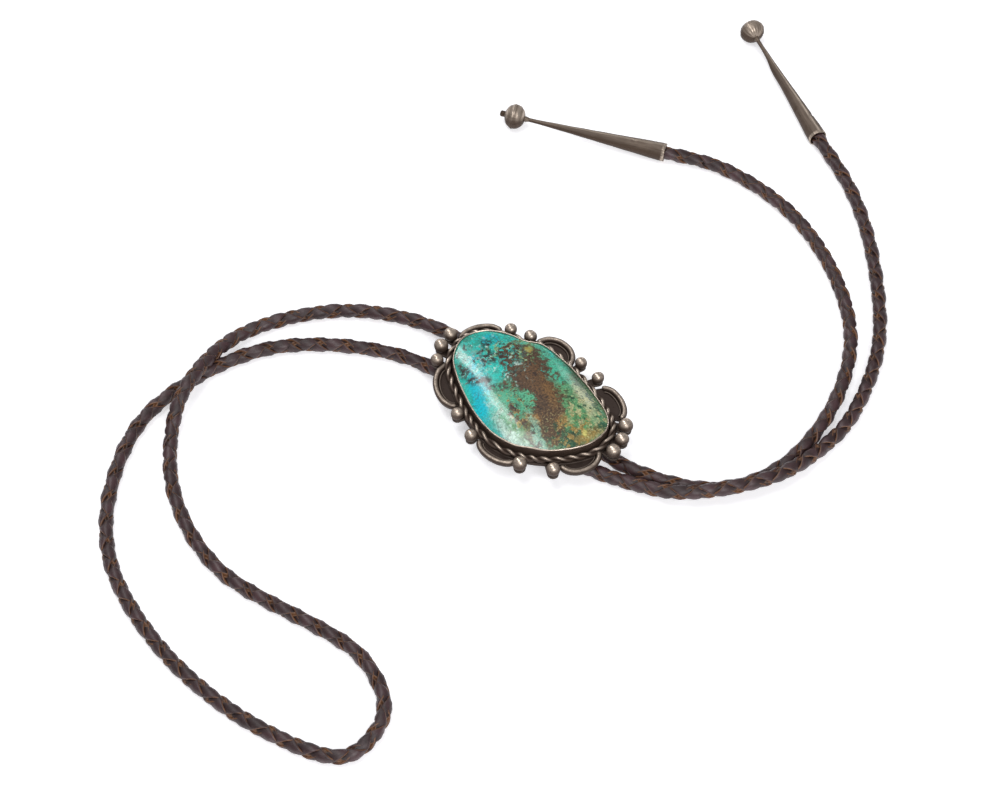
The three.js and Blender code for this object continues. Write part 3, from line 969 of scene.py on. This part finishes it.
def make_bezel(silver):
    """The bezel strip: a closed profile of outward distance and height carried round the
    outline, with a flared foot and a lip that is rubbed over the stone."""
    profile = [
        # outward, height, worn
        (0.65, PLATE_TOP - 0.1, 0.0),
        (0.42, PLATE_TOP + 0.25, 0.0),
        (0.24, PLATE_TOP + 0.6, 0.0),
        (0.18, PLATE_TOP + 1.6, 0.05),
        (0.16, BEZEL_TOP - 1.0, 0.15),
        (0.15, BEZEL_TOP - 0.4, 0.3),
        # The lip's bright line: a painted highlight, with wear.
        (0.10, BEZEL_TOP - 0.12, 1.9),
        (-0.03, BEZEL_TOP, 1.9),
        (-0.18, BEZEL_TOP - 0.05, 1.9),
        (-0.30, BEZEL_TOP - 0.25, 0.8),
        (-0.33, BEZEL_TOP - 0.6, 0.0),
        (-0.40, BEZEL_TOP - 1.6, 0.0),
        (-0.50, PLATE_TOP - 0.1, 0.0),
    ]
    out, height, wear_and_highlight = np.array(profile).T
    outline = lip_outline(360)
    normal = outward(outline)
    grid = at_height(outline[:, None] + normal[:, None] * out[:, None], height)
    upper = smooth(PLATE_TOP + 1, BEZEL_TOP, height)[None, :]
    dents = unevenness(at_height(outline, 0.0), 9.0, 5)[:, None]
    grid[..., :2] += normal[:, None] * (0.10 * dents * upper)[..., None]
    grid[..., 2] += 0.07 * unevenness(at_height(outline, 0.0), 6.0, 6)[:, None] * upper
    strip = Surface(slide_to_table(grid), loop=True, wear_and_highlight=wear_and_highlight)
    return piece("bezel", [strip], silver, "setting")


def make_rope(slide, silver):
    """Two wires twisted round each other along a loop beside the bezel's foot: each is a helix,
    loop + radius * (cos, sin) of the twist, half a turn apart."""
    radius = slide.rope_wire / MM
    turns = slide.rope_turns
    count = turns * 22
    outline = lip_outline(count)
    loop = outline + outward(outline) * ROPE_OUT
    line = at_height(evenly(loop, count, closed=True), PLATE_TOP + ROPE_RISE)
    side, over = level_frame(line, closed=True)
    share = np.arange(count) / count
    wobble = 0.5 * np.sin(2 * np.pi * share * 5) + 0.4 * np.sin(2 * np.pi * share * 8 + 1)
    twist = (2 * np.pi * turns * share + wobble)[:, None]
    wires = []
    for phase in (0, np.pi):
        wire = line + ROPE_HELIX * (side * np.cos(twist + phase) + over * np.sin(twist + phase))
        surface = tube(wire, radius, 10, int(phase) + 30, loop=True)
        # The crest of each strand is lighter: a painted highlight, with wear.
        crest = smooth(PLATE_TOP + 1.2, PLATE_TOP + 2.1, surface.points[:, 2])
        surface.values["wear_and_highlight"] = crest
        wires.append(surface)
    return piece("rope", wires, silver, "setting")


def make_balls(silver):
    """Melted balls: rays to a sphere times a radius that is uneven by a few hundredths, with wear
    and a painted highlight on top. Each is sunk a little in the plate."""
    polar = np.linspace(0.06, np.pi - 0.06, 25)[:, None]
    ring = np.linspace(0, 2 * np.pi, 36, endpoint=False)[None, :]
    level, rise = np.sin(polar), -np.cos(polar) + 0 * ring
    ray = np.stack([level * np.cos(ring), level * np.sin(ring), rise], axis=-1)
    parts = []
    for number, (p, q, diameter) in enumerate(BALLS):
        radius = diameter / 2 * (1 + 0.025 * unevenness(ray, 1.6, 40 + number))
        centre = np.array([p, q, PLATE_TOP + diameter / 2 - BALL_SINK])
        grid = slide_to_table(centre + ray * radius[..., None])
        # The upper half of each ball is lighter: a painted highlight, with wear.
        parts.append(Surface(grid, wear_and_highlight=smooth(-0.2, 1.0, rise)))
    return piece("balls", parts, silver, "setting")


def make_stone(stone, material):
    """The cabochon: rings from the girdle to the crown, at share = cos(angle) of the way out,
    each at the girdle's height + dome * (1 - share ** flatness)."""
    girdle = lip_outline(224)
    girdle = girdle - outward(girdle) * GIRDLE_INSET
    middle = girdle.mean(axis=0)
    dome = stone.dome / MM
    share = np.cos(np.linspace(0, np.pi / 2, 60)[:-1])
    rings = middle + share[:, None, None] * (girdle - middle)
    height = GIRDLE_TOP + dome * (1 - share**stone.flatness)
    crown = at_height(rings, height[:, None])
    crown[..., 2] += 0.05 * unevenness(crown, 11.0, 9) * (1 - share)[:, None]
    foot = at_height(np.stack([middle + (girdle - middle) * 0.5, girdle]), STONE_FLOOR)
    body = Surface(slide_to_table(np.concatenate([foot, crown])))
    return piece("cabochon", [body], material, "stone")


# The section of a lace: across in widths, out in thicknesses, and how raw the leather is.
LACE_SECTION = [
    # across, out, raw
    (-0.50, 0.10, 1.0),
    (-0.47, 0.42, 0.8),
    (-0.34, 0.50, 0.0),
    (0.00, 0.52, 0.0),
    (0.34, 0.50, 0.0),
    (0.47, 0.42, 0.8),
    (0.50, 0.10, 1.0),
    (0.46, -0.42, 1.0),
    (0.00, -0.50, 0.3),
    (-0.46, -0.42, 1.0),
]

# How far the braid's four sides are turned round the cord, along its length.
BRAID_TURN = [
    # distance, degrees
    (0, 60),
    (230, 75),
    (300, 20),
    (760, 20),
    (860, 80),
    (940, 62),
    (1042, 50),
]


def braid_lace(cord, line, number, way, phase):
    """One lace. It turns round the line by way * run / pitch, and runs at thickness *
    (1 + cover / 2) from it. Its cover is way * cos(2 * turn): 1 where it passes over the others
    and -1 where it passes under them, so the crossings stay on four lines along the cord. Its
    flat section is rolled round the cord, more so on the outside."""
    run = running(line)
    side, over = level_frame(line)
    thickness = cord.diameter / MM * LACE_SHARE
    drift = 0.35 * unevenness(run[:, None], 90.0, 2)
    turn = phase + way * (2 * np.pi * run / (cord.pitch / MM) + drift)
    cover = way * np.cos(2 * turn)
    slack = 1 + 0.03 * unevenness(run[:, None], 17.0, 50 + number)
    reach = thickness * (1 + 0.5 * cover) * slack
    column = np.radians(np.interp(run, *np.array(BRAID_TURN, float).T))
    angle = (turn + column)[:, None]
    ray = side * np.cos(angle) + over * np.sin(angle)
    centre = line + ray * reach[:, None]
    heading = directions(centre)
    normal = unit(ray - heading * (ray * heading).sum(axis=1)[:, None])
    sideways = np.cross(heading, normal)
    across, out, raw = np.array(LACE_SECTION).T
    uneven = 1 + 0.05 * unevenness(run[:, None], 13.0, 60 + number)
    width = cord.lace_width / MM * uneven * (0.97 + 0.05 * cover)
    x, y = across * width[:, None], out * thickness
    bend = 1 / (0.34 + 0.16 * cover)[:, None]
    rolled = [(bend + y) * np.sin(x / bend), (bend + y) * np.cos(x / bend) - bend]
    grid = sweep(centre, sideways, normal, np.stack(rolled, axis=-1))
    marks = {"across": x, "run": run[:, None], "cover": cover[:, None], "raw": raw}
    return Surface(grid, **marks, lace=7.0 * number)


def make_cord(cord, material):
    """Four laces braided along the route: two go round it one way and two the other."""
    knots = np.array(CORD_ROUTE) + [0, 0, CORD_LIFT]
    route = curve_through(knots, 80)
    count = int(round(running(route)[-1] / (cord.step / MM)))
    line = evenly(route, count)
    ways = [(1, 0), (1, np.pi), (-1, 0), (-1, np.pi)]
    laces = [braid_lace(cord, line, number, *way) for number, way in enumerate(ways)]
    thing = piece("braided_cord", laces, material, "cord")


# The tips' outer profile: distance from the mouth and radius.
CONE_PROFILE = [
    # at, radius
    (0.15, 2.97),
    (1.2, 2.98),
    (8.0, 2.6),
    (16.0, 2.12),
    (24.0, 1.66),
    (32.0, 1.2),
    (38.0, 0.92),
    (43.0, 0.68),
    (47.5, 0.62),
]

# Dents and swellings of the tips: distance from the mouth, angle, length, breadth and depth.
DENTS = {
    "left": [
        (10.5, 95, 0.5, 26, 0.35),
        (22.0, 60, 7.0, 30, 0.12),
        (4.0, 30, 3.0, 30, 0.12),
    ],
    "right": [
        (9.0, 150, 0.6, 40, 0.32),
        (13.0, 40, 0.6, 34, 0.30),
        (31.5, -35, 5.0, 45, -0.38),
        (39.0, -35, 4.0, 45, 0.22),
    ],
}

# The stub past the bead: distance from the bead's end and radius.
STUB_PROFILE = [
    # at, radius
    (-0.9, 1.9),
    (-0.2, 1.45),
    (0.1, 1.02),
    (0.9, 0.98),
    (1.5, 1.0),
    (1.8, 0.75),
    (1.88, 0.3),
]

# How much of the stub's length each tip has left.
STUB_SHARES = {"left": 1.0, "right": 0.25}


def lathe(profile, ring, seed, uneven):
    """Distance along and radius for each row of a turned form, uneven by a share of its radius."""
    at, radius = np.array(profile, float).T
    at, radius = at[:, None] + 0 * ring, radius[:, None] + 0 * ring
    point = np.stack([at, radius * np.cos(ring), radius * np.sin(ring)], axis=-1)
    return at, radius * (1 + uneven * unevenness(point, 5.0, seed))


# Inside of a tip's mouth, from the bottom of the bore outwards.
BORE_PROFILE = [
    # at, radius
    (36.0, 0.05),
    (20.0, 1.3),
    (4.0, 2.3),
    (0.6, 2.52),
    (0.12, 2.62),
    (0.0, 2.8),
]

# The neck's swelling beside the bead.
COLLAR_PROFILE = [
    # at, radius
    (45.6, 0.6),
    (46.4, 0.82),
    (47.0, 0.95),
    (47.8, 0.8),
]


def bell(value, centre, width):
    """A bell curve: exp(-((value - centre) / width) squared)."""
    return np.exp(-(((value - centre) / width) ** 2))


def roll_cone(name, ring, seed):
    """Distance along, radius, and wear with a painted highlight, of a cone of rolled sheet: dents
    and its seam are bell curves taken off the radius, and its mouth's edge is torn by noise along
    the axis. Its upper side and a line along it are lightened as a painted highlight."""
    outer = evenly(np.array(CONE_PROFILE), 90)
    at, radius = lathe([*BORE_PROFILE, *outer], ring, seed, 0.012)
    edge = np.stack([np.cos(ring[0]), np.sin(ring[0])], axis=1)
    torn = 0.28 * unevenness(edge, 1.1, seed)
    at = np.maximum(at + torn[None, :] * smooth(1.6, 0.0, at), 0.0)
    degrees = np.degrees(ring)
    for centre, angle, long, broad, depth in DENTS[name]:
        around = (degrees - angle + 180) % 360 - 180
        radius = radius - depth * bell(at, centre, long) * bell(around, 0, broad)
    radius = radius - 0.06 * bell(degrees, SEAM_ANGLE, SEAM_WIDTH) * smooth(0.6, 2.0, radius)
    wear_and_highlight = np.zeros_like(at)
    wear_and_highlight[4:8] = 1.0
    # Upper side lighter and a bright line along it at 100 degrees: painted highlight.
    upper = 0.25 * smooth(0.3, 1.0, np.sin(ring))
    highlight_line = 1.6 * bell(degrees, 100, 12) * smooth(46, 36, at)
    return at, radius, np.maximum(np.maximum(wear_and_highlight, upper), highlight_line)


def raise_bead(name, length, bead, ring, seed):
    """Distance along, radius, and wear with a painted highlight on its upper side, of a bead of two
    domed halves: a sine with two creases by its seam. The left one has ridges round it, and the
    right one has flutes along it."""
    angle = np.linspace(0.12, np.pi - 0.22, 60)
    crease = 0.12 * (bell(angle, 1.45, 0.06) + bell(angle, 1.69, 0.06))
    centre = length + 0.25
    rows = np.stack([centre - BEAD_HALF * np.cos(angle), bead * np.sin(angle) ** 0.92 + crease], 1)
    at, radius = lathe(rows, ring, seed, 0.012)
    if name == "left":
        marks = np.cos(11 * angle[:, None] + 0.5 * np.sin(2 * ring)) * 0.6
    else:
        marks = np.cos(22 * ring + 0.7 * np.sin(3 * ring)) * np.sin(2 * angle[:, None]) ** 2
    # Upper side lighter: a painted highlight, stronger on the ridges and flutes.
    wear_and_highlight = smooth(0.2, 1.0, np.sin(ring)) * (0.9 + 0.6 * marks)
    return at, radius * (1 + 0.03 * marks), wear_and_highlight


def make_tip(tip, name, mouth_x, mouth_y, heading, material):
    """A cone, a bead, a stub and a collar: turned forms about an axis that rises from the mouth
    to the bead, so that both rest on the table."""
    length, mouth, bead = tip.length / MM, tip.mouth / MM, tip.bead / MM
    rise = math.asin((bead - mouth) / length)
    turn = math.radians(heading)
    level = math.cos(rise)
    axis = np.array([math.cos(turn) * level, math.sin(turn) * level, math.sin(rise)])
    side = unit(np.cross(UP, axis))
    over = np.cross(axis, side)
    start = np.array([mouth_x, mouth_y, mouth])
    ring = np.linspace(0, 2 * np.pi, 72, endpoint=False)[None, :]
    swing = side * np.cos(ring)[..., None] + over * np.sin(ring)[..., None]
    seed = 70 + int(heading)
    stub = np.array(STUB_PROFILE) * [STUB_SHARES[name], 1] + [length + BEAD_HALF, 0]
    forms = [
        roll_cone(name, ring, seed),
        raise_bead(name, length, bead, ring, seed + 1),
        (*lathe(stub, ring, seed + 2, 0.03), 0.0),
        (*lathe(COLLAR_PROFILE, ring, seed + 3, 0.03), 0.3),
    ]
    parts = []
    for at, radius, wear_and_highlight in forms:
        grid = start + axis * at[..., None] + swing * radius[..., None]
        parts.append(Surface(grid, wear_and_highlight=wear_and_highlight, at=at, cosine=np.cos(ring), sine=np.sin(ring)))
    return piece(f"cone_tip_{name}", parts, material, f"tip_{name}")


def make_clip(material):
    """The clip under the slide: its end view, with two round channels, drawn out along the
    cord, and drawn in a little at both ends as a bevel."""
    half, radius, drop = CLIP_HALF_WIDTH, CHANNEL_RADIUS, CLIP_TOP - CHANNEL_HEIGHT
    lean = math.atan2(drop, math.sqrt(radius**2 - drop**2))
    arc = np.linspace(lean, -np.pi - lean, 22)
    channel = np.stack([radius * np.cos(arc), CHANNEL_HEIGHT + radius * np.sin(arc)], axis=1)
    chamfer = 0.3
    flat = [(-half, chamfer), (chamfer - half, 0), (half - chamfer, 0), (half, chamfer)]
    flat = [*flat, (half, CLIP_TOP)]
    right, left = channel + [CHANNEL_OUT, 0], channel - [CHANNEL_OUT, 0]
    corners = np.vstack([flat, right, left, [(-half, CLIP_TOP)]])
    middle = np.array([0.0, 0.4])
    end = CLIP_HALF_LENGTH
    rows = [(-end, 0.97), (0.2 - end, 1.0), (end - 0.2, 1.0), (end, 0.97)]
    ends = [np.insert(middle + (corners - middle) * share, 0, at, axis=1) for at, share in rows]
    grid = turned(np.stack(ends), CLIP_TURN)
    grid[..., 2] = np.maximum(grid[..., 2], 0)
    body = Surface(grid, wear_and_highlight=0.2)
    return piece("clip", [body], material, "cord_clip")


def silver_of(slide):
    """The setting's silver, made once and shared by its pieces."""
    found = bpy.data.materials.get("slide_silver")
    if found:
        return found
    floor, top = (PLATE_TOP - 1.1) * MM, (PLATE_TOP + 2.0) * MM
    return silver_material("slide_silver", slide, slide.silver, floor, top)


class BOLO_OT_camera(bpy.types.Operator):
    """Sets the camera over the table at the picture's angle"""

    bl_idname = "bolo.camera"
    bl_label = "Camera"

    def execute(self, context):
        view = context.scene.bolo_camera
        data = bpy.data.cameras.new("camera")
        data.lens = view.lens
        data.sensor_width = 36
        data.sensor_fit = "HORIZONTAL"
        data.clip_start = 0.01
        data.clip_end = 20
        camera = add_object("camera", data)
        back = np.array([0, -math.cos(view.elevation), math.sin(view.elevation)])
        camera.location = np.array(view.aim) + back * view.distance
        camera.rotation_euler = (math.pi / 2 - view.elevation, 0, 0)
        context.scene.camera = camera
        return {"FINISHED"}


class BOLO_OT_cord(bpy.types.Operator):
    """Braids the cord from one tip to the other"""

    bl_idname = "bolo.cord"
    bl_label = "Braided cord"

    def execute(self, context):
        cord = context.scene.bolo_cord
        make_cord(cord, leather_material(cord))
        return {"FINISHED"}


class BOLO_OT_back_plate(bpy.types.Operator):
    """Makes the slide's back plate with the seats of its balls"""

    bl_idname = "bolo.back_plate"
    bl_label = "Back plate"

    def execute(self, context):
        slide = context.scene.bolo_slide
        make_plate(slide, silver_of(slide))
        return {"FINISHED"}


class BOLO_OT_scallops(bpy.types.Operator):
    """Makes the six scallops with their rim wires"""

    bl_idname = "bolo.scallops"
    bl_label = "Scallops"

    def execute(self, context):
        slide = context.scene.bolo_slide
        make_scallops(slide, silver_of(slide))
        return {"FINISHED"}


class BOLO_OT_bezel(bpy.types.Operator):
    """Makes the bezel strip and the twisted rope round its foot"""

    bl_idname = "bolo.bezel"
    bl_label = "Bezel and rope"

    def execute(self, context):
        slide = context.scene.bolo_slide
        make_bezel(silver_of(slide))
        make_rope(slide, silver_of(slide))
        return {"FINISHED"}


class BOLO_OT_balls(bpy.types.Operator):
    """Makes the melted balls of silver"""

    bl_idname = "bolo.balls"
    bl_label = "Balls"

    def execute(self, context):
        make_balls(silver_of(context.scene.bolo_slide))
        return {"FINISHED"}


class BOLO_OT_stone(bpy.types.Operator):
    """Cuts the turquoise cabochon"""

    bl_idname = "bolo.stone"
    bl_label = "Stone"

    def execute(self, context):
        stone = context.scene.bolo_stone
        make_stone(stone, turquoise_material(stone))
        return {"FINISHED"}


class BOLO_OT_tips(bpy.types.Operator):
    """Makes the two cone-shaped tips"""

    bl_idname = "bolo.tips"
    bl_label = "Tips"

    def execute(self, context):
        tip = context.scene.bolo_tip
        slide = context.scene.bolo_slide
        # Below 5 mm the tips' silver darkens towards the table: painted shade on their lower sides.
        metal = silver_material("cone_silver", slide, tip.silver, -4 * MM, 5 * MM, True)
        for row in TIPS:
            make_tip(tip, *row, metal)
        return {"FINISHED"}


class BOLO_OT_clip(bpy.types.Operator):
    """Makes the clip under the slide that holds the cord"""

    bl_idname = "bolo.clip"
    bl_label = "Clip"

    def execute(self, context):
        slide = context.scene.bolo_slide
        # Below 5 mm the clip's silver darkens towards the table: painted shade on its lower side.
        metal = silver_material("clip_silver", slide, slide.silver, -2 * MM, 5 * MM)
        make_clip(metal)
        return {"FINISHED"}


# Lights, each aimed at the slide: share of the key's power, size and place in metres.
LIGHTS = [
    # name, share, wide, high, place
    ("key_light", 0.16, 0.4, 0.4, (-0.2, -0.06, 1.05)),
    ("strip_light", 0.3, 0.18, 1.3, (-0.47, 0.8, 1.0)),
    ("back_light", 0.06, 0.3, 0.5, (0.8, 1.7, 0.95)),
    ("front_light", 0.6, 0.7, 0.7, (0.35, -0.95, 1.0)),
]


def lay_table(stage):
    """The table: a flat square whose middle lies under the tie."""
    mesh = bpy.data.meshes.new("table")
    ways = np.array([(-1, -1, 0), (1, -1, 0), (1, 1, 0), (-1, 1, 0)])
    corners = (ways * TABLE_HALF + UP * TABLE_HEIGHT) * MM
    mesh.from_pydata(corners.tolist(), [], [(0, 1, 2, 3)])
    mesh.materials.append(table_material(stage))
    add_object("table", mesh)


def hang_lights(stage):
    """Large lights over the table, each aimed at the slide."""
    for name, share, wide, high, place in LIGHTS:
        data = bpy.data.lights.new(name, "AREA")
        data.shape = "RECTANGLE"
        data.size, data.size_y = wide, high
        data.energy = stage.key * share
        light = add_object(name, data)
        light.location = place
        light.rotation_euler = Vector(place).to_track_quat("Z", "Y").to_euler()


def fill_room(stage):
    """Even light from all round, with colours shown plainly."""
    world = bpy.data.worlds.new("room")
    world.use_nodes = True
    background = world.node_tree.nodes["Background"]
    background.inputs["Color"].default_value = (*tint(250, 249, 252), 1)
    background.inputs["Strength"].default_value = stage.fill
    bpy.context.scene.world = world
    bpy.context.scene.view_settings.view_transform = "Standard"


class BOLO_OT_stage(bpy.types.Operator):
    """Lays the table and sets up the lights"""

    bl_idname = "bolo.stage"
    bl_label = "Table and lights"

    def execute(self, context):
        stage = context.scene.bolo_stage
        lay_table(stage)
        hang_lights(stage)
        fill_room(stage)
        return {"FINISHED"}


class BOLO_PT_panel(bpy.types.Panel):
    bl_idname = "BOLO_PT_panel"
    bl_label = "Bolo tie"
    bl_space_type = "VIEW_3D"
    bl_region_type = "UI"
    bl_category = "Bolo tie"

    def draw(self, context):
        for key in SETTINGS:
            box = self.layout.box()
            settings = getattr(context.scene, key)
            for name in settings.__annotations__:
                box.prop(settings, name)
        for operator in OPERATORS:
            self.layout.operator(operator.bl_idname)


SETTINGS = {
    "bolo_camera": BoloCameraSettings,
    "bolo_cord": BoloCordSettings,
    "bolo_slide": BoloSlideSettings,
    "bolo_stone": BoloStoneSettings,
    "bolo_tip": BoloTipSettings,
    "bolo_stage": BoloStageSettings,
}

OPERATORS = [
    BOLO_OT_camera,
    BOLO_OT_cord,
    BOLO_OT_back_plate,
    BOLO_OT_scallops,
    BOLO_OT_bezel,
    BOLO_OT_balls,
    BOLO_OT_stone,
    BOLO_OT_tips,
    BOLO_OT_clip,
    BOLO_OT_stage,
]


def register():
    for group in [*SETTINGS.values(), *OPERATORS, BOLO_PT_panel]:
        bpy.utils.register_class(group)
    for key, group in SETTINGS.items():
        setattr(bpy.types.Scene, key, PointerProperty(type=group))


def unregister():
    for key in SETTINGS:
        delattr(bpy.types.Scene, key)
    for group in [BOLO_PT_panel, *reversed(OPERATORS), *reversed(SETTINGS.values())]:
        bpy.utils.unregister_class(group)


def main():
    register()
    for operator in OPERATORS:
        group, name = operator.bl_idname.split(".")
        getattr(getattr(bpy.ops, group), name)()


if __name__ == "__main__":
    main()
